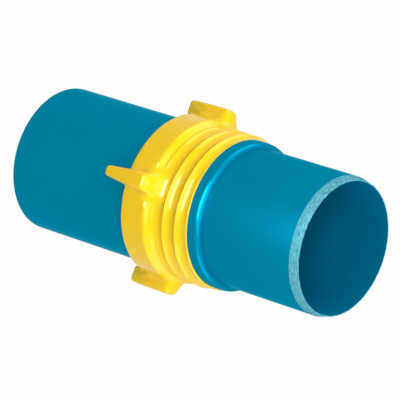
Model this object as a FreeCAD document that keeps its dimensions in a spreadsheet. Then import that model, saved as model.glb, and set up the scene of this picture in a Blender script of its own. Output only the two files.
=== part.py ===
import FreeCAD
import Part

import math
import os
import re

import Sketcher

# Pipe adaptor standing on its socket's mouth. +Z runs up the pipe axis to the spigot's end, and one lug faces -Y.
# The origin is the middle of the socket's mouth. Every size is in millimetres.

SIZES = [
    # The pipe: a socket that takes a pipe as large as the spigot, a collar, and the spigot
    ("total_length", 200.0, "socket mouth to spigot end"),
    ("spigot_diameter", 75.0, "outside of the spigot"),
    ("pipe_wall", 1.9, "wall of the spigot and of the socket"),
    ("socket_clearance", 0.3, "radial room for a pipe in the socket"),
    ("spigot_length", 64.5, "collar's front face to spigot end"),
    ("end_chamfer_length", 5.1, "machined lead-in at the spigot end"),
    ("end_lip", 0.6, "wall left at the spigot's end face"),
    ("mouth_chamfer", 0.4, "broken outer edge of the socket's mouth"),
    ("collar_length", 7.5, "collar along the pipe"),
    ("collar_height", 0.7, "collar above the socket"),
    ("collar_round", 2.3, "rounding of the collar's front edge"),
    # The threaded ring, bonded to the pipe with its front face against the collar
    ("bond_gap", 0.05, "radial glue line between ring and pipe"),
    ("ring_length", 43.0, "flange back to ring front"),
    ("thread_wall", 1.2, "ring wall under the thread grooves"),
    ("thread_pitch", 8.6, "distance from ridge to ridge"),
    ("ridge_height", 1.6, "ridge above the thread grooves"),
    ("ridge_width", 8.2, "ridge at its foot"),
    ("ridge_crest", 2.8, "flat of the ridge's crest"),
    ("thread_start", 11.3, "first ridge from the flange back, hidden below a lug"),
    ("front_land", 0.65, "flat rim of the ring's front face"),
    ("flange_width", 15.6, "flange band along the pipe"),
    ("flange_height", 4.05, "flange above the thread grooves"),
    ("flange_fillet", 4.6, "hollow between flange and thread"),
    ("flange_chamfer", 0.7, "broken edge of the flange back"),
    # The lugs that turn the ring
    ("lug_count", 4, "lugs round the flange"),
    ("lug_height", 6.8, "lug above the flange"),
    ("lug_lean", 0.5, "how much lower the lug is at its tail"),
    ("lug_thickness", 8.8, "lug across, over the flange"),
    ("lug_tip_thickness", 5.8, "lug across, at its tail"),
    ("lug_overhang", 11.6, "tail behind the flange"),
    ("lug_drop", 2.8, "underside of the tail below the flange surface"),
    ("lug_front", 17.5, "lug's outer front corner from the flange back"),
    ("lug_front_lean", 2.0, "how far the lug's front leans back"),
    ("lug_fairing", 6.8, "slope in front of the lug, down to the ridges"),
    ("lug_fairing_radius", 16.0, "slight hollow of that slope"),
    ("lug_corner_round", 2.0, "rounding of the tail's two corners"),
    ("lug_edge_chamfer", 0.8, "broken edges of the lug"),
    ("lug_foot_fillet", 1.6, "fillet between lug sides and flange"),
]


def fill_sheet(doc):
    sheet = doc.addObject("Spreadsheet::Sheet", "Sizes")
    for row, (alias, value, note) in enumerate(SIZES, start=1):
        sheet.set(f"A{row}", note)
        sheet.set(f"B{row}", str(value))
        sheet.setAlias(f"B{row}", alias)
    doc.recompute()
    return sheet


# Radii and places that several features share, each written once from the sheet's names
SHARED = {
    "spigot_radius": "spigot_diameter / 2",
    "bore_radius": "(spigot_radius - pipe_wall)",
    "socket_radius": "(spigot_radius + socket_clearance)",
    "tube_radius": "(socket_radius + pipe_wall)",
    "collar_radius": "(tube_radius + collar_height)",
    "collar_front": "(total_length - spigot_length)",
    "collar_back": "(collar_front - collar_length)",
    "ring_bore": "(tube_radius + bond_gap)",
    "ring_front": "collar_back",
    "ring_back": "(ring_front - ring_length)",
    "root_radius": "(ring_bore + thread_wall)",
    "crest_radius": "(root_radius + ridge_height)",
    "embed_radius": "(root_radius - thread_wall / 2)",
    "flange_radius": "(root_radius + flange_height)",
    "flange_edge": "(ring_back + flange_width)",
    "hollow_run": "sqrt(2 * flange_fillet * flange_height - flange_height ^ 2)",
    "lug_radius": "(flange_radius + lug_height)",
    "lug_under": "(flange_radius - lug_drop)",
    "lug_tail": "(ring_back - lug_overhang)",
    "lug_top_front": "(ring_back + lug_front)",
    "lug_low_front": "(lug_top_front + lug_front_lean)",
    "fairing_end": "(lug_low_front + lug_fairing)",
}


def formula(text):
    """Write a formula in the sheet's names as FreeCAD reads it."""
    while True:
        longer = re.sub(r"[a-z_]+", lambda word: SHARED.get(word.group(), word.group()), text)
        if longer == text:
            break
        text = longer
    aliases = {alias for alias, _, _ in SIZES}
    return re.sub(r"[a-z_]+", lambda word: ("Sizes." if word.group() in aliases else "") + word.group(), text)


def value_of(sheet, text):
    return float(sheet.evalExpression(formula(text)))


def origin_part(body, role):
    return next(item for item in body.Origin.OriginFeatures if item.Role == role)


def arc(start, end, radius, side):
    """The short arc between two points that bulges to the left (+1) or the right (-1) of the way from start to end."""
    chord = end - start
    left = FreeCAD.Vector(-chord.y, chord.x, 0).normalize()
    centre = (start + end) * 0.5 - left * side * math.sqrt(radius ** 2 - (chord.Length / 2) ** 2)
    first, last = (end, start) if side > 0 else (start, end)
    angles = [math.atan2(point.y - centre.y, point.x - centre.x) for point in (first, last)]
    return Part.ArcOfCircle(Part.Circle(centre, FreeCAD.Vector(0, 0, 1), radius), *angles)


def draw(body, name, plane, outline):
    """A closed, fully constrained sketch. Each corner is (x, y), or (x, y, radius, side) where an arc leaves it."""
    sheet = body.Document.getObject("Sizes")
    sketch = body.newObject("Sketcher::SketchObject", name)
    sketch.AttachmentSupport = [(origin_part(body, plane), "")]
    sketch.MapMode = "FlatFace"
    corners = [FreeCAD.Vector(value_of(sheet, c[0]), value_of(sheet, c[1]), 0) for c in outline]
    # The two ends of each line and arc, in the order of the outline: an arc that bulges left is drawn backwards
    ends = [(2, 1) if len(corner) > 2 and corner[3] > 0 else (1, 2) for corner in outline]
    for index, corner in enumerate(outline):
        start, end = corners[index], corners[(index + 1) % len(corners)]
        if len(corner) > 2:
            sketch.addGeometry(arc(start, end, value_of(sheet, corner[2]), corner[3]), False)
        else:
            sketch.addGeometry(Part.LineSegment(start, end), False)
    for index, corner in enumerate(outline):
        following = (index + 1) % len(outline)
        sketch.addConstraint(
            Sketcher.Constraint("Coincident", index, ends[index][1], following, ends[following][0]))
        for kind, text in (("DistanceX", corner[0]), ("DistanceY", corner[1])):
            number = sketch.addConstraint(
                Sketcher.Constraint(kind, index, ends[index][0], value_of(sheet, text)))
            sketch.setExpression(f"Constraints[{number}]", formula(text))
        if len(corner) > 2:
            number = sketch.addConstraint(Sketcher.Constraint("Radius", index, value_of(sheet, corner[2])))
            sketch.setExpression(f"Constraints[{number}]", formula(corner[2]))
    body.Document.recompute()
    if not sketch.FullyConstrained:
        raise RuntimeError(f"{name} is not fully constrained")
    return sketch


def turned(body, kind, name, sketch):
    """A full turn of a section about the pipe axis, added (Revolution) or cut away (Groove)."""
    feature = body.newObject(f"PartDesign::{kind}", name)
    feature.Profile = sketch
    feature.ReferenceAxis = (origin_part(body, "Z_Axis"), [""])
    feature.Angle = 360
    body.Document.recompute()
    return feature


def in_lug(sheet, edge):
    """The middle of an edge as its nearest lug has it: outwards, sideways from the lug's middle, and its height."""
    point = edge.valueAt((edge.FirstParameter + edge.LastParameter) / 2)
    step = 2 * math.pi / value_of(sheet, "lug_count")
    angle = (math.atan2(point.y, point.x) + step / 2) % step - step / 2
    reach = math.hypot(point.x, point.y)
    return reach * math.cos(angle), abs(reach * math.sin(angle)), point.z


def edged(body, kind, name, wanted, size):
    """Round (Fillet) or break (Chamfer) the edges whose middle, as its nearest lug has it, passes the test."""
    sheet = body.Document.getObject("Sizes")
    before = body.Tip
    found = [number for number, edge in enumerate(before.Shape.Edges, start=1) if wanted(*in_lug(sheet, edge))]
    feature = body.newObject(f"PartDesign::{kind}", name)
    feature.Base = (before, [f"Edge{number}" for number in found])
    feature.setExpression("Radius" if kind == "Fillet" else "Size", formula(size))
    body.Document.recompute()
    return feature


def make_pipe(doc):
    body = doc.addObject("PartDesign::Body", "Pipe")
    body.Label = "pipe_body"
    section = draw(body, "PipeWall", "XZ_Plane", [
        ("tube_radius - mouth_chamfer", "0"),
        ("tube_radius", "mouth_chamfer"),
        ("tube_radius", "collar_back"),
        ("collar_radius", "collar_back"),
        ("collar_radius", "collar_front - collar_round", "collar_round", -1),
        ("collar_radius - collar_round", "collar_front"),
        ("spigot_radius", "collar_front"),
        ("spigot_radius", "total_length - end_chamfer_length"),
        ("bore_radius + end_lip", "total_length"),
        ("bore_radius", "total_length"),
        ("bore_radius", "collar_front"),
        ("socket_radius", "collar_front - socket_radius + bore_radius"),
        ("socket_radius", "0"),
    ])
    turned(body, "Revolution", "PipeTurn", section)
    return body


def make_ring(doc):
    body = doc.addObject("PartDesign::Body", "Ring")
    body.Label = "threaded_ring"
    section = draw(body, "RingWall", "XZ_Plane", [
        ("flange_radius - flange_chamfer", "ring_back"),
        ("flange_radius", "ring_back + flange_chamfer"),
        ("flange_radius", "flange_edge", "flange_fillet", 1),
        ("root_radius", "flange_edge + hollow_run"),
        ("root_radius", "ring_front - (thread_wall - front_land)"),
        ("ring_bore + front_land", "ring_front"),
        ("ring_bore", "ring_front"),
        ("ring_bore", "ring_back"),
    ])
    turned(body, "Revolution", "RingTurn", section)
    add_thread(body)
    add_lugs(body)
    edge_lugs(body)
    return body


def add_thread(body):
    """One ridge with sloping flanks on a left-hand helix, cut back at the ring's front by the lead-in chamfer."""
    middle = "(ring_back + thread_start)"
    section = draw(body, "RidgeSection", "XZ_Plane", [
        ("embed_radius", f"{middle} - ridge_width / 2"),
        ("root_radius", f"{middle} - ridge_width / 2"),
        ("crest_radius", f"{middle} - ridge_crest / 2"),
        ("crest_radius", f"{middle} + ridge_crest / 2"),
        ("root_radius", f"{middle} + ridge_width / 2"),
        ("embed_radius", f"{middle} + ridge_width / 2"),
    ])
    ridge = body.newObject("PartDesign::AdditiveHelix", "ThreadRidge")
    ridge.Profile = section
    ridge.ReferenceAxis = (origin_part(body, "Z_Axis"), [""])
    ridge.Mode = 0
    ridge.LeftHanded = True
    ridge.setExpression("Pitch", formula("thread_pitch"))
    ridge.setExpression("Height", formula("ring_length - thread_start + ridge_width"))
    body.Document.recompute()
    slope = "(crest_radius - ring_bore - front_land)"
    beyond = "(ring_front + 3 * ridge_width)"
    front = draw(body, "FrontCut", "XZ_Plane", [
        ("ring_bore", "ring_front"),
        ("ring_bore + front_land", "ring_front"),
        (f"ring_bore + front_land + 2 * {slope}", f"ring_front - 2 * {slope}"),
        (f"ring_bore + front_land + 2 * {slope}", beyond),
        ("ring_bore", beyond),
    ])
    turned(body, "Groove", "FrontTrim", front)


def add_lugs(body):
    outline = draw(body, "LugSide", "XZ_Plane", [
        ("lug_radius - lug_lean - lug_corner_round", "lug_tail", "lug_corner_round", 1),
        ("lug_radius - lug_lean", "lug_tail + lug_corner_round"),
        ("lug_radius", "lug_top_front"),
        ("flange_radius", "lug_low_front", "lug_fairing_radius", 1),
        ("crest_radius", "fairing_end"),
        ("embed_radius", "fairing_end"),
        ("embed_radius", "ring_back + 2 * flange_chamfer"),
        ("lug_under", "ring_back + 2 * flange_chamfer"),
        ("lug_under", "lug_tail + lug_corner_round", "lug_corner_round", 1),
        ("lug_under + lug_corner_round", "lug_tail"),
    ])
    lug = body.newObject("PartDesign::Pad", "Lug")
    lug.Profile = outline
    lug.Midplane = True
    lug.setExpression("Length", formula("lug_thickness"))
    body.Document.recompute()
    # The tail narrows behind the flange: a pocket that wraps round it trims both of its sides
    below = "(lug_tail - lug_edge_chamfer)"
    wrap = draw(body, "TailPlan", "YZ_Plane", [
        ("lug_thickness / 2", "ring_back"),
        ("lug_tip_thickness / 2", below),
        ("-lug_tip_thickness / 2", below),
        ("-lug_thickness / 2", "ring_back"),
        ("-lug_thickness", f"{below} - lug_thickness"),
        ("lug_thickness", f"{below} - lug_thickness"),
    ])
    taper = body.newObject("PartDesign::Pocket", "TailTaper")
    taper.Profile = wrap
    taper.Type = 1
    taper.Midplane = True
    body.Document.recompute()
    pattern = body.newObject("PartDesign::PolarPattern", "Lugs")
    pattern.Originals = [lug, taper]
    pattern.Axis = (origin_part(body, "Z_Axis"), [""])
    pattern.Angle = 360
    pattern.setExpression("Occurrences", formula("lug_count"))
    body.Tip = pattern
    body.Document.recompute()


def edge_lugs(body):
    sheet = body.Document.getObject("Sizes")
    back, top_front, low_front = (value_of(sheet, name) for name in ("ring_back", "lug_top_front", "lug_low_front"))
    flange, outside = value_of(sheet, "flange_radius"), value_of(sheet, "lug_radius - lug_lean")
    side, tip = value_of(sheet, "lug_thickness / 2"), value_of(sheet, "lug_tip_thickness / 2")
    chamfer, near = value_of(sheet, "flange_chamfer"), 0.01

    def lug_edge(outwards, sideways, height):
        tail = height < back - near
        top = outwards > outside - near
        front = top_front < height < low_front and outwards > flange + near
        return tip < sideways < side + near and (tail or top or front)

    def foot(outwards, sideways, height):
        on_flange = abs(math.hypot(outwards, sideways) - flange) < near
        return on_flange and abs(sideways - side) < near and back + chamfer < height < low_front

    edged(body, "Chamfer", "LugEdges", lug_edge, "lug_edge_chamfer")
    edged(body, "Fillet", "LugFeet", foot, "lug_foot_fillet")


def check(doc, nodes):
    failed = [item.Name for item in doc.Objects if "Invalid" in item.State or "Error" in item.State]
    if failed:
        raise RuntimeError(f"these objects failed: {failed}")
    for node in nodes:
        if node.Shape.isNull() or not node.Shape.isValid() or len(node.Shape.Solids) != 1:
            raise RuntimeError(f"{node.Label} is not one valid solid")


def main():
    doc = FreeCAD.newDocument("PipeAdaptor")
    fill_sheet(doc)
    nodes = [make_pipe(doc), make_ring(doc)]
    doc.recompute()
    check(doc, nodes)
    os.makedirs("parts", exist_ok=True)
    for node in nodes:
        node.Shape.exportStep(os.path.join("parts", f"{node.Label}.step"))
        box = node.Shape.optimalBoundingBox()
        print(f"{node.Label}: {node.Shape.Volume:.0f} mm3, "
              f"X {box.XMin:.2f} {box.XMax:.2f}, Y {box.YMin:.2f} {box.YMax:.2f}, Z {box.ZMin:.2f} {box.ZMax:.2f}")


main()
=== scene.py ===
# %% [markdown]
# # A threaded pipe adaptor in blue and yellow plastic
#
# The part is a short piece of blue pipe. One end is a wide socket, the other a narrower spigot, and a
# yellow ring with four lugs and a coarse thread sits between them. It stands on its socket here, with the
# pipe's axis straight up, so every round form can be turned about the Z axis. The camera looks down on
# the spigot's end, and it is rolled on its side, because the photograph shows the pipe lying across the
# picture.

import math

import bpy
import numpy as np
from mathutils import Euler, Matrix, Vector


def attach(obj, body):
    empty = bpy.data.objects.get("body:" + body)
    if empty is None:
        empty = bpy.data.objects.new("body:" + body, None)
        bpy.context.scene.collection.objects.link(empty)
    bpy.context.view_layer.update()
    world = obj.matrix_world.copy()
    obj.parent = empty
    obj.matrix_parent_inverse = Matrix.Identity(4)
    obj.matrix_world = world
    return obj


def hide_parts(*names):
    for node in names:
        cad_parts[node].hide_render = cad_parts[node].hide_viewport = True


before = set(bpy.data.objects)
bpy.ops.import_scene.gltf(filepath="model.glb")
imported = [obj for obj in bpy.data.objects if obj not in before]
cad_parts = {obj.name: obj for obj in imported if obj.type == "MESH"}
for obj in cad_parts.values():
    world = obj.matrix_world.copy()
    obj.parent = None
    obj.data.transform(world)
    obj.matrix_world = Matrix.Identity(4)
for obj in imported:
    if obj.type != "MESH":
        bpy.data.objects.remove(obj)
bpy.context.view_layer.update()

# %% [markdown]
# ## Small tools for modelling
#
# Blender works in metres and the drawings in millimetres, so lengths are written as numbers times MM.
# Most of this part is turned work. A section is drawn by extruding one vertex from corner to corner, and
# the spin operator turns it into a solid, as a lathe does. That keeps every radius exactly where the
# drawing has it.

# %% Start every operation from a clean selection
MM = 0.001


def nothing_selected():
    if bpy.context.mode != "OBJECT":
        bpy.ops.object.mode_set(mode="OBJECT")
    bpy.ops.object.select_all(action="DESELECT")


def only(piece):
    nothing_selected()
    piece.select_set(True)
    bpy.context.view_layer.objects.active = piece


# %% Finish a modifier
def applied(piece, modifier):
    only(piece)
    bpy.ops.object.modifier_apply(modifier=modifier.name)


# %% Round a corner of a section
def bow(centre, radius, first, last, steps):
    """Points (radius, height) on an arc, from one angle to another, in degrees from straight outwards."""
    angles = [math.radians(first + (last - first) * i / steps) for i in range(steps + 1)]
    return [(centre[0] + radius * math.cos(a), centre[1] + radius * math.sin(a)) for a in angles]


# %% Draw a section with one vertex
def drawn(name, section):
    """A closed outline in the XZ plane, left in edit mode. One vertex is extruded from corner to corner."""
    nothing_selected()
    bpy.ops.mesh.primitive_plane_add(size=MM)
    piece = bpy.context.active_object
    piece.name = name
    bpy.ops.object.mode_set(mode="EDIT")
    bpy.ops.mesh.merge(type="CENTER")
    here = (0.0, 0.0)
    for step, there in enumerate([*section, section[0]]):
        move = ((there[0] - here[0]) * MM, 0, (there[1] - here[1]) * MM)
        if step:
            bpy.ops.mesh.extrude_vertices_move(TRANSFORM_OT_translate={"value": move})
        else:
            bpy.ops.transform.translate(value=move)
        here = there
    bpy.ops.mesh.select_all(action="SELECT")
    bpy.ops.mesh.remove_doubles(threshold=0.001 * MM)
    return piece


# %% Turn a section about the pipe's axis
def closed_up():
    """Weld what meets and turn every face outwards, then leave edit mode."""
    bpy.ops.mesh.select_all(action="SELECT")
    bpy.ops.mesh.remove_doubles(threshold=0.001 * MM)
    bpy.ops.mesh.normals_make_consistent(inside=False)
    bpy.ops.object.mode_set(mode="OBJECT")


def lathed(name, section, steps):
    piece = drawn(name, section)
    bpy.ops.mesh.select_all(action="SELECT")
    bpy.ops.mesh.spin(steps=steps, angle=2 * math.pi, center=(0, 0, 0), axis=(0, 0, 1))
    closed_up()
    print(name, "turned:", len(piece.data.polygons), "faces")
    return piece


# %% [markdown]
# ## The pipe
#
# The real pipe is one moulding with a thin, even wall. Its outside steps down at a rounded collar, and
# its spigot ends in a machined lead-in. The section below holds all of that, and one spin makes it.

# %% The pipe's sizes
TUBE, SPIGOT, BORE, SOCKET = 39.7, 37.5, 35.6, 37.8
COLLAR, COLLAR_BACK, COLLAR_FRONT, COLLAR_ROUND = 40.4, 128.0, 135.5, 2.8
LENGTH, LEAD_IN, LIP = 200.0, 5.1, 0.6
MOUTH_EDGE = 0.4
PIPE_STEPS = 240

# %% Turn the pipe
socket_taper = SOCKET - BORE
pipe_section = [
    (TUBE - MOUTH_EDGE, 0.0), (TUBE, MOUTH_EDGE), (TUBE, COLLAR_BACK), (COLLAR, COLLAR_BACK),
    *bow((COLLAR - COLLAR_ROUND, COLLAR_FRONT - COLLAR_ROUND), COLLAR_ROUND, 0, 90, steps=12),
    (SPIGOT, COLLAR_FRONT), (SPIGOT, LENGTH - LEAD_IN), (BORE + LIP, LENGTH), (BORE, LENGTH),
    (BORE, COLLAR_FRONT), (SOCKET, COLLAR_FRONT - socket_taper), (SOCKET, 0.0),
]
pipe = lathed("pipe_wall", pipe_section, PIPE_STEPS)
only(pipe)
bpy.ops.object.shade_smooth_by_angle(angle=math.radians(25))
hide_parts("pipe_body")
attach(pipe, "root")

# %% [markdown]
# ## The threaded ring
#
# The ring is one moulding too, but it isn't only turned work: a ridge winds round it and four lugs stand
# out of it. Each form is made by the tool that suits it. The wall is spun, the ridge is a section swept
# by the Screw modifier, and the lug is an outline given thickness. Then the forms are joined, and a voxel
# remesh makes them one skin. Smoothing that skin afterwards gives the soft corners that a mould leaves.

# %% The ring's sizes
RING_BACK, RING_FRONT, RING_BORE = 85.0, 128.0, 39.75
ROOT, CREST, FLANGE = 40.5, 42.55, 45.0
BACK_ROUND = 0.8
FLANGE_EDGE, FLANGE_ROUND = 100.1, 2.0
SLOPE, SLOPE_FOOT, HOLLOW = 50, 42.2, 3.5
FRONT_LAND, FRONT_EDGE, HOLLOW_STEP = 0.65, 0.85, 0.1
RING_STEPS = 180


# %% Draw an arc between two corners
def through(start, end, radius, steps):
    """Points on the arc from one corner to another that bulges to the left of the way there."""
    a, b = Vector(start), Vector(end)
    chord = b - a
    left = Vector((-chord.y, chord.x)).normalized()
    centre = (a + b) / 2 - left * math.sqrt(radius ** 2 - (chord.length / 2) ** 2)
    first = math.degrees(math.atan2(a.y - centre.y, a.x - centre.x))
    turn = math.degrees(2 * math.asin(chord.length / 2 / radius))
    return bow(centre, radius, first, first - turn, steps)


# %% Turn the ring's wall
edge_round = bow((FLANGE - FLANGE_ROUND, FLANGE_EDGE), FLANGE_ROUND, 0, SLOPE, steps=6)
slope_start, tilt = edge_round[-1], math.radians(SLOPE)
foot_height = slope_start[1] + (slope_start[0] - SLOPE_FOOT) / math.tan(tilt)
hollow_end = (SLOPE_FOOT - HOLLOW * (1 - math.cos(tilt)), foot_height + HOLLOW * math.sin(tilt))
print("the slope in front of the flange ends at", [round(v, 2) for v in hollow_end])
ring_section = [
    *bow((FLANGE - BACK_ROUND, RING_BACK + BACK_ROUND), BACK_ROUND, -90, 0, steps=5),
    *edge_round,
    *through((SLOPE_FOOT, foot_height), hollow_end, HOLLOW, steps=8),
    (ROOT, hollow_end[1] + HOLLOW_STEP), (ROOT, RING_FRONT - FRONT_EDGE),
    (RING_BORE + FRONT_LAND, RING_FRONT), (RING_BORE, RING_FRONT), (RING_BORE, RING_BACK),
]
ring = lathed("ring", ring_section, RING_STEPS)

# %% [markdown]
# ### The thread
#
# The thread is a round-bottomed groove that winds round the ring and leaves narrow crests between its
# turns. It is made as the crest's section, with two hollow flanks, moved up as it goes round. The Screw
# modifier does both at once. The section is a whole pitch wide, so that the turns meet at the bottom of
# the groove. It starts inside the flange, and runs out past the ring's front, where it is cut back. The
# crests lean as those of a left-hand thread do.

# %% The thread's sizes
PITCH, CREST_FLAT, FIRST_CREST, TURNS = 8.6, 0.3, 102.0, 5
half, flat, rise = PITCH / 2, CREST_FLAT / 2, CREST - ROOT
groove = ((half - flat) ** 2 + rise ** 2) / (2 * rise)
print("groove radius:", round(groove, 2), "mm")

# %% Sweep the thread's crest
start = FIRST_CREST - PITCH
ridge = drawn("ridge", [
    (RING_BORE, start - half),
    *through((ROOT, start - half), (CREST, start - flat), groove, steps=10),
    *through((CREST, start + flat), (ROOT, start + half), groove, steps=10),
    (RING_BORE, start + half),
])
sweep = ridge.modifiers.new("sweep", "SCREW")
sweep.axis = "Z"
sweep.angle = -2 * math.pi
sweep.screw_offset = PITCH * MM
sweep.iterations = TURNS
sweep.steps = sweep.render_steps = RING_STEPS
applied(ridge, sweep)
bpy.ops.object.mode_set(mode="EDIT")
bpy.ops.mesh.select_all(action="SELECT")
bpy.ops.mesh.fill_holes(sides=0)
closed_up()
print("ridge swept to", round(max(v.co.z for v in ridge.data.vertices) / MM, 1), "mm")

# %% Cut the ridge back at the ring's front
land = RING_BORE + FRONT_LAND
run = 2 * (CREST - land)
within, above = RING_BORE - 3, RING_FRONT + 30
cutter = lathed("cutter", [
    (within, RING_FRONT), (land, RING_FRONT), (land + run, RING_FRONT - run),
    (land + run, above), (within, above),
], RING_STEPS)
cut = ridge.modifiers.new("front", "BOOLEAN")
cut.operation = "DIFFERENCE"
cut.object = cutter
applied(ridge, cut)
bpy.data.objects.remove(cutter)
print("ridge cut back to", round(max(v.co.z for v in ridge.data.vertices) / MM, 1), "mm")

# %% [markdown]
# ### The lugs
#
# A lug is a fin with a tail that reaches back over the pipe, and a hollow slope in front that runs down
# to the thread. Its outline is drawn in the XZ plane, filled, and extruded across. Then its points are
# moved sideways: the lug widens from its tail to its front, and its sides have the draft that lets a
# moulding leave its mould. A Bevel modifier rounds the edges. Its overlap clamp is off, because the short
# steps of the tail's round would hold the bevel back.

# %% The lug's sizes
LUG, LUG_LEAN, LUG_UNDER = 51.8, 0.5, 42.2
LUG_TAIL, LUG_TAIL_ROUND = 73.8, 2.2
LUG_ROOT, LUG_TOP_FRONT, LUG_LOW_FRONT = RING_BACK + 1.6, 102.5, 104.5
LUG_FOOT, SLOPE_LENGTH, SLOPE_BOW = 41.4, 3.8, 4.0
WIDTH_AT = {LUG_TAIL: 5.4, 80.0: 6.3, RING_BACK: 7.3, 93.0: 8.6, LUG_LOW_FRONT: 10.5}
DRAFT, LUG_EDGE = 1.6, 1.8


# %% Draw, fill and thicken one lug
def lug_top(height):
    return LUG - LUG_LEAN * (LUG_TOP_FRONT - height) / (LUG_TOP_FRONT - LUG_TAIL)


tail_height = LUG_TAIL + LUG_TAIL_ROUND
slope_end = LUG_LOW_FRONT + SLOPE_LENGTH
lug = drawn("lug", [
    (RING_BORE, LUG_ROOT), (LUG_UNDER, LUG_ROOT),
    *bow((LUG_UNDER + LUG_TAIL_ROUND, tail_height), LUG_TAIL_ROUND, 180, 270, steps=5),
    *bow((LUG - LUG_LEAN - LUG_TAIL_ROUND, tail_height), LUG_TAIL_ROUND, 270, 360, steps=5),
    *((lug_top(height), height) for height in list(WIDTH_AT)[1:-1]),
    (LUG, LUG_TOP_FRONT),
    *through((FLANGE, LUG_LOW_FRONT), (LUG_FOOT, slope_end), SLOPE_BOW, steps=6),
    (RING_BORE, slope_end),
])
bpy.ops.mesh.edge_face_add()
bpy.ops.mesh.extrude_region_move(TRANSFORM_OT_translate={"value": (0, 2 * MM, 0)})
bpy.ops.mesh.select_all(action="SELECT")
bpy.ops.transform.translate(value=(0, -1 * MM, 0))
closed_up()

# %% Give the lug its width, place by place
for vertex in lug.data.vertices:
    reach, height = vertex.co.x / MM, vertex.co.z / MM
    share_down = max(0.0, min(1.0, (LUG - reach) / (LUG - FLANGE)))
    width = np.interp(height, list(WIDTH_AT), list(WIDTH_AT.values()))
    width += share_down * DRAFT * (height > RING_BACK)
    vertex.co.y *= width / 2
edge = lug.modifiers.new("edge", "BEVEL")
edge.width = LUG_EDGE * MM
edge.segments = 5
edge.use_clamp_overlap = False
edge.limit_method = "ANGLE"
edge.angle_limit = math.radians(50)
applied(lug, edge)
print("lug:", len(lug.data.polygons), "faces")

# %% Copy the lug round the ring
lugs = [lug]
for turn in (90, 180, 270):
    copy = lug.copy()
    copy.data = lug.data.copy()
    bpy.context.collection.objects.link(copy)
    copy.rotation_euler.z = math.radians(turn)
    only(copy)
    bpy.ops.object.transform_apply(location=False, rotation=True, scale=False)
    lugs.append(copy)
print("lugs:", len(lugs))

# %% [markdown]
# ### One skin
#
# Joining only puts the forms into one mesh. The voxel remesh then lays a new, even skin over the outside
# of them all.

# %% Join the forms and remesh them
VOXEL = 0.5
only(ring)
for form in (ridge, *lugs):
    form.select_set(True)
bpy.ops.object.join()
remesh = ring.modifiers.new("skin", "REMESH")
remesh.mode = "VOXEL"
remesh.voxel_size = VOXEL * MM
applied(ring, remesh)
ring.name = "ring_with_lugs"
print("ring skin:", len(ring.data.polygons), "faces")

# %% [markdown]
# The inner corners of a moulding have fillets. The Smooth modifier would wear the edges away along with
# the corners, so this is a small smoother of its own, for the points round the lugs. It moves a point
# halfway to the middle of its neighbours, and a weight says which points move, and how far.

# %% Read the skin's points
def read(items, what, kind=float):
    values = np.zeros(len(items) * (2 if what == "vertices" else 3), dtype=kind)
    items.foreach_get(what, values)
    return values.reshape(len(items), -1)


skin = ring.data
places = read(skin.vertices, "co") / MM
reach, height = np.hypot(places[:, 0], places[:, 1]), places[:, 2]
sideways = np.minimum(abs(places[:, 0]), abs(places[:, 1]))
ZONE_SIDE, ZONE_BACK, ZONE_FRONT, ZONE_INSIDE = 13, RING_BACK - 6, 114, RING_BORE + 0.5
zone = (sideways < ZONE_SIDE) & (height > ZONE_BACK) & (height < ZONE_FRONT) & (reach > ZONE_INSIDE)
points = places[zone]
print("points round the lugs:", len(points), "of", len(places))

# %% Find each point's neighbours
ends = read(skin.edges, "vertices", np.int32)
pairs = (np.cumsum(zone) - 1)[ends[zone[ends].all(axis=1)]]
here, there = np.concatenate([pairs, pairs[:, ::-1]]).T
count = np.maximum(np.bincount(here, minlength=len(points)), 1)


def to_middle():
    """The way from each point to the middle of its neighbours."""
    sums = [np.bincount(here, points[there, axis], len(points)) for axis in range(3)]
    return np.stack(sums, axis=1) / count[:, None] - points


def put_back():
    places[zone] = points
    skin.vertices.foreach_set("co", (places * MM).ravel())
    skin.update()


print("neighbours of a point:", round(count.mean(), 1))


# %% Weigh the points by their place
def ramp(value, low, high):
    """0 at low, 1 at high, and straight in between."""
    return np.clip((value - low) / (high - low), 0, 1)


NEAR_SIDE, NEAR_BACK, NEAR_FRONT = (12, 9), (RING_BACK - 5, RING_BACK - 4), (112, 108)
near = (ramp(sideways, *NEAR_SIDE) * ramp(height, *NEAR_BACK) * ramp(height, *NEAR_FRONT))[zone]
BLUNT_SIDE, BLUNT_BACK, BLUNT_FRONT, BLUNT_TOP = (12, 8), (94, 101), (110, 107), (54, 49)
front = ramp(sideways, *BLUNT_SIDE) * ramp(height, *BLUNT_BACK)
front = (front * ramp(height, *BLUNT_FRONT) * ramp(reach, *BLUNT_TOP))[zone]
print("points that may move:", int((near > 0).sum()), "and on the lugs' fronts:", int((front > 0).sum()))

# %% [markdown]
# A corner is filled only where it is still tighter than the fillet. On an even grid, the way to the
# middle of the neighbours is as long as the surface is curved there, so that length, seen against the
# normal, tells how tight an inner corner is.

# %% Fill the inner corners
FILLET, FILL_ROUNDS, FILL_STEPS = 5.0, 30, 10
tight = VOXEL ** 2 / 4 / FILLET
for _ in range(FILL_ROUNDS):
    normals = read(skin.vertices, "normal")[zone]
    for _ in range(FILL_STEPS):
        way = to_middle()
        depth = (way * normals).sum(axis=1)
        points += way * (near * ramp(depth, tight, 1.5 * tight) / 2)[:, None]
    put_back()
print("points still in a tight corner:", int((near * (depth > 2 * tight)).sum()))

# %% [markdown]
# The lugs' fronts are worn rounder than the bevel makes them, and here the edges may go along with the
# corners. Then one light pass of the Smooth modifier takes the steps out of the whole skin, and the
# Decimate modifier thins its faces where they are flat.

# %% Blunt the lugs' fronts
BLUNTING = 110
for _ in range(BLUNTING):
    points += to_middle() * (front / 2)[:, None]
put_back()

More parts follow.
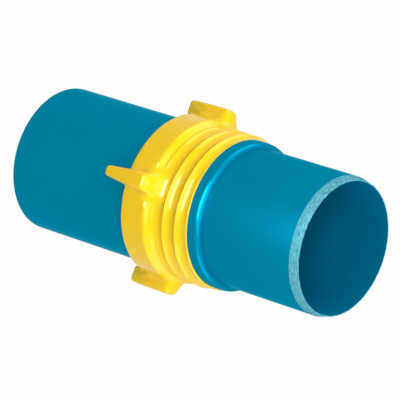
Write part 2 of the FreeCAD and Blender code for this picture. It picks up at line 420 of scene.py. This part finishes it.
# %% Soften and thin the skin
soften = ring.modifiers.new("soften", "SMOOTH")
soften.factor, soften.iterations = 0.5, 1
applied(ring, soften)
thin = ring.modifiers.new("thin", "DECIMATE")
thin.ratio = 0.6
applied(ring, thin)
ring.data.calc_loop_triangles()
print("ring skin:", len(ring.data.loop_triangles), "triangles")
bpy.ops.object.shade_smooth()
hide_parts("threaded_ring")
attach(ring, "root")

# %% [markdown]
# ## Materials
#
# Shader maths reads best as maths. The class below wraps a socket, so that ordinary operators add the
# Math nodes.

# %% A socket that can be added, multiplied and compared
class Value:
    def __init__(self, tree, socket=None):
        self.tree, self.socket = tree, socket

    def node(self, kind, settings=None, **inputs):
        """A node of any kind. An input is named, with _ for a space, or counted, as _0."""
        made = self.tree.nodes.new(kind)
        for key, value in (settings or {}).items():
            setattr(made, key, value)
        for key, value in inputs.items():
            socket = made.inputs[int(key[1:])] if key[1:].isdigit() else made.inputs[key.replace("_", " ")]
            if isinstance(value, Value):
                self.tree.links.new(value.socket, socket)
            else:
                socket.default_value = value
        return made

    def maths(self, operation, *others):
        inputs = {f"_{i}": other for i, other in enumerate((self, *others))}
        return Value(self.tree, self.node("ShaderNodeMath", {"operation": operation}, **inputs).outputs[0])

    def __add__(self, other):
        return self.maths("ADD", other)

    __radd__ = __add__

    def __mul__(self, other):
        return self.maths("MULTIPLY", other)

    __rmul__ = __mul__

    def __rsub__(self, other):
        return self * -1 + other

    def __gt__(self, other):
        return self.maths("GREATER_THAN", other)

    def __lt__(self, other):
        return self.maths("LESS_THAN", other)

    def between(self, low, high):
        """0 at low and below, 1 at high and above, and smooth in between."""
        made = self.node("ShaderNodeMapRange", {"interpolation_type": "SMOOTHSTEP"},
                         Value=self, From_Min=low, From_Max=high)
        return Value(self.tree, made.outputs[0])


# %% Start a material, and read a piece's own coordinates
def srgb(red, green, blue):
    """A screen colour, 0 to 255, as the linear numbers that a shader takes."""
    parts = [c / 255 for c in (red, green, blue)]
    return (*(p / 12.92 if p <= 0.04045 else ((p + 0.055) / 1.055) ** 2.4 for p in parts), 1.0)


def started(name, **fixed):
    material = bpy.data.materials.new(name)
    material.use_nodes = True
    shader = material.node_tree.nodes["Principled BSDF"]
    for key, value in fixed.items():
        shader.inputs[key.replace("_", " ")].default_value = value
    tree = material.node_tree
    place = tree.nodes.new("ShaderNodeTexCoord").outputs["Object"]
    return material, shader, Value(tree, place)


def axes(place):
    split = place.node("ShaderNodeSeparateXYZ", _0=place)
    return [Value(place.tree, split.outputs[i]) for i in range(3)]


# %% Patterns, colours and bumps
def grain(place, scale, stretch=(1, 1, 1), detail=2.0):
    """Soft noise, from 0 to 1. A stretch below 1 draws it out along that axis."""
    mapped = place.node("ShaderNodeMapping", {"vector_type": "POINT"}, Vector=place, Scale=stretch)
    made = place.node("ShaderNodeTexNoise", {"noise_dimensions": "3D"},
                      Vector=Value(place.tree, mapped.outputs[0]), Scale=scale, Detail=detail)
    return Value(place.tree, made.outputs[0])


def blended(place, share, first, second):
    """The first colour where share is 0, the second where it is 1."""
    made = place.node("ShaderNodeMix", {"data_type": "RGBA"})
    sockets = [s for s in made.inputs if s.type == "RGBA"]
    place.tree.links.new(share.socket, made.inputs[0])
    for socket, colour in zip(sockets, (first, second)):
        if isinstance(colour, Value):
            place.tree.links.new(colour.socket, socket)
        else:
            socket.default_value = colour
    return Value(place.tree, next(s for s in made.outputs if s.type == "RGBA"))


def bumped(place, height, distance):
    made = place.node("ShaderNodeBump", Height=height, Distance=distance, Strength=1.0)
    return Value(place.tree, made.outputs[0])


# %% Link what varies, and put the material on
def dressed(piece, material, shader, **varied):
    tree = material.node_tree
    for key, value in varied.items():
        tree.links.new(value.socket, shader.inputs[key.replace("_", " ")])
    piece.data.materials.clear()
    piece.data.materials.append(material)
    print(piece.name, "wears", material.name)


# %% [markdown]
# ### Blue pipe plastic
#
# Pipe plastic is smooth and half glossy. Drawing and handling leave faint lines along it, and its colour
# varies a little. A plain plastic's gloss is white, and would turn the pipe's edges pale, which the
# photograph doesn't show. So the gloss comes from a share of Metallic instead, which reflects in the
# pipe's own colour, and Specular Tint keeps it blue at the edges too. The lead-in was cut on a lathe: it
# is paler, dull and finely grooved. It is found by its place, high up and outside the bore, and the bore
# by its radius.

# %% Find the lead-in and the bore
GLOSS_SHARE, WALL_MARGIN = 0.35, 0.1
blue, blue_shader, place = started(
    "blue_pipe_plastic", Specular_IOR_Level=0.0, Specular_Tint=(0.1, 0.85, 1.0, 1))
x, y, z = axes(place)
radius = (x * x + y * y).maths("SQRT")
inside = (BORE + WALL_MARGIN) * MM
machined = (z > (LENGTH - LEAD_IN) * MM) * (radius > inside)
# The bore is found by its radius. It gets a blue of its own, which is painted light: a touch lighter than the
# outside, set to how bright the inside of the hole looks.
bore_painted_light_mask = inside > radius

# %% Dress the pipe
cloud = grain(place, 30, detail=3.0)
lines = grain(place, 600, stretch=(1, 1, 0.03))
peel = grain(place, 900)
cutting = grain(place, 500, stretch=(1, 1, 6), detail=4.0)
plain_blue = blended(place, cloud, srgb(0, 128, 162), srgb(0, 134, 168))
# The bore's blue is painted light: a touch lighter than the outside blue, to lift the shade inside the hole.
bore_painted_light_blue = blended(place, cloud, srgb(0, 130, 167), srgb(0, 134, 172))
cut_blue = blended(place, cutting.between(0.3, 0.7), srgb(52, 140, 160), srgb(124, 202, 217))
dressed(
    pipe, blue, blue_shader,
    Base_Color=blended(place, machined, blended(place, bore_painted_light_mask, plain_blue, bore_painted_light_blue), cut_blue),
    Metallic=GLOSS_SHARE - 0.3 * machined,
    Roughness=0.22 + 0.05 * lines + machined * 0.3,
    Normal=bumped(place, lines * 0.3 + peel * 0.3 + machined * cutting * 6, 0.01 * MM),
)

# %% [markdown]
# ### Yellow ring plastic
#
# The ring came out of a polished mould. It is glossier than the pipe, with a barely uneven skin. Its
# gloss is nearly white, a little warm.

# %% Dress the ring
yellow, yellow_shader, place = started(
    "yellow_moulded_plastic", Specular_IOR_Level=0.32, Specular_Tint=(1.0, 0.93, 0.65, 1))
cloud = grain(place, 40, detail=3.0)
peel = grain(place, 700)
dressed(
    ring, yellow, yellow_shader,
    Base_Color=blended(place, cloud, srgb(254, 208, 8), srgb(255, 213, 14)),
    Roughness=0.14 + 0.05 * cloud,
    Normal=bumped(place, peel, 0.008 * MM),
)

# %% [markdown]
# ## Floor, light and camera
#
# The photograph shows the part on plain white. A floor that is lit to white would throw too much light up
# at the part. So the floor and the world glow white for rays that look at them, from the camera or by way
# of a gloss, and are much darker for rays that light the part. A small share of the floor stays plain,
# and keeps a faint shadow.

# %% Tell the rays that show a surface from those that light the part
def looked_at(tree):
    """1 for what the camera sees, also in a gloss or through glass, and 0 for light that lights a surface."""
    path = Value(tree).node("ShaderNodeLightPath")
    rays = ("Is Camera Ray", "Is Glossy Ray", "Is Transmission Ray")
    return sum((Value(tree, path.outputs[ray]) for ray in rays), 0).maths("MINIMUM", 1)


# %% Lay the floor
nothing_selected()
bpy.ops.mesh.primitive_plane_add(size=6)
floor = bpy.context.active_object
floor.name = "floor"
white, white_shader, place = started("white_floor", Base_Color=(0.12, 0.12, 0.12, 1), Roughness=0.9)
glow = place.node("ShaderNodeEmission", Color=(1, 1, 1, 1), Strength=1.02)
mix = place.node("ShaderNodeMixShader", _0=looked_at(place.tree) * 0.97)
tree = place.tree
tree.links.new(white_shader.outputs[0], mix.inputs[1])
tree.links.new(glow.outputs[0], mix.inputs[2])
tree.links.new(mix.outputs[0], tree.nodes["Material Output"].inputs["Surface"])
floor.data.materials.append(white)
print("floor:", [round(side, 1) for side in floor.dimensions], "m")

# %% Make the room
FILL, WHITE = 0.08, 0.98
world = bpy.data.worlds.new("studio")
bpy.context.scene.world = world
world.use_nodes = True
background = world.node_tree.nodes["Background"]
background.inputs["Color"].default_value = (1, 1, 1, 1)
strength = FILL + (WHITE - FILL) * looked_at(world.node_tree)
world.node_tree.links.new(strength.socket, background.inputs["Strength"])
print("world:", FILL, "as light,", WHITE, "to the eye")


# %% [markdown]
# One large softbox stands above the camera's side of the part and lights the surfaces that face the
# spigot. Two more, low on either side, light the ring's flanks, and a small one overhead lights the rims.
# The strip is low in front and shows in the gloss only: it draws the short white streaks in the thread,
# where more plain light would flatten it.

# %% Hang the softboxes
def softbox(name, towards, distance, width, height, power):
    """A lamp that faces the middle of the part, from one direction."""
    lamp = bpy.data.lights.new(name, "AREA")
    lamp.shape = "RECTANGLE"
    lamp.size, lamp.size_y, lamp.energy = width, height, power
    stand = bpy.data.objects.new(name, lamp)
    bpy.context.collection.objects.link(stand)
    direction = Vector(towards).normalized()
    stand.location = Vector((0, 0, 0.1)) + direction * distance
    stand.rotation_euler = direction.to_track_quat("Z", "Y").to_euler()
    print(name, "at", [round(v, 2) for v in stand.location])
    return stand


softbox("front", (0, -1, 1.33), distance=2.6, width=3.6, height=2.4, power=87.0)
softbox("left", (-1, 0.1, 0.36), distance=2.6, width=2.4, height=1.3, power=35.0)
softbox("right", (1, 0.1, 0.36), distance=2.6, width=2.4, height=1.3, power=32.0)
softbox("top", (0, 0, 1), distance=1.6, width=0.3, height=0.3, power=2.6)
strip = softbox("strip", (0, -1, 0.15), distance=1.1, width=0.8, height=0.48, power=36.0)
strip.visible_diffuse = False

# %% [markdown]
# The camera stands far off with a long lens, as the photograph's near-parallel pipe sides show. Its place
# and turn were fitted to the pipe's outline in the photograph.

# %% Set up the camera
CAMERA_PLACE, CAMERA_TURN, LENS = (0.03855, -1.38205, 1.2151), (-20.695, -47.854, 118.647), 301.35
camera_data = bpy.data.cameras.new("camera")
camera_data.lens = LENS
camera_data.clip_start, camera_data.clip_end = 0.1, 20
camera = bpy.data.objects.new("camera", camera_data)
bpy.context.collection.objects.link(camera)
camera.location = CAMERA_PLACE
camera.rotation_euler = Euler([math.radians(angle) for angle in CAMERA_TURN], "XYZ")
bpy.context.scene.camera = camera
print("camera", round(camera.location.length, 2), "m from the socket's mouth")

# %% Show colours as they are
bpy.context.scene.view_settings.view_transform = "Standard"
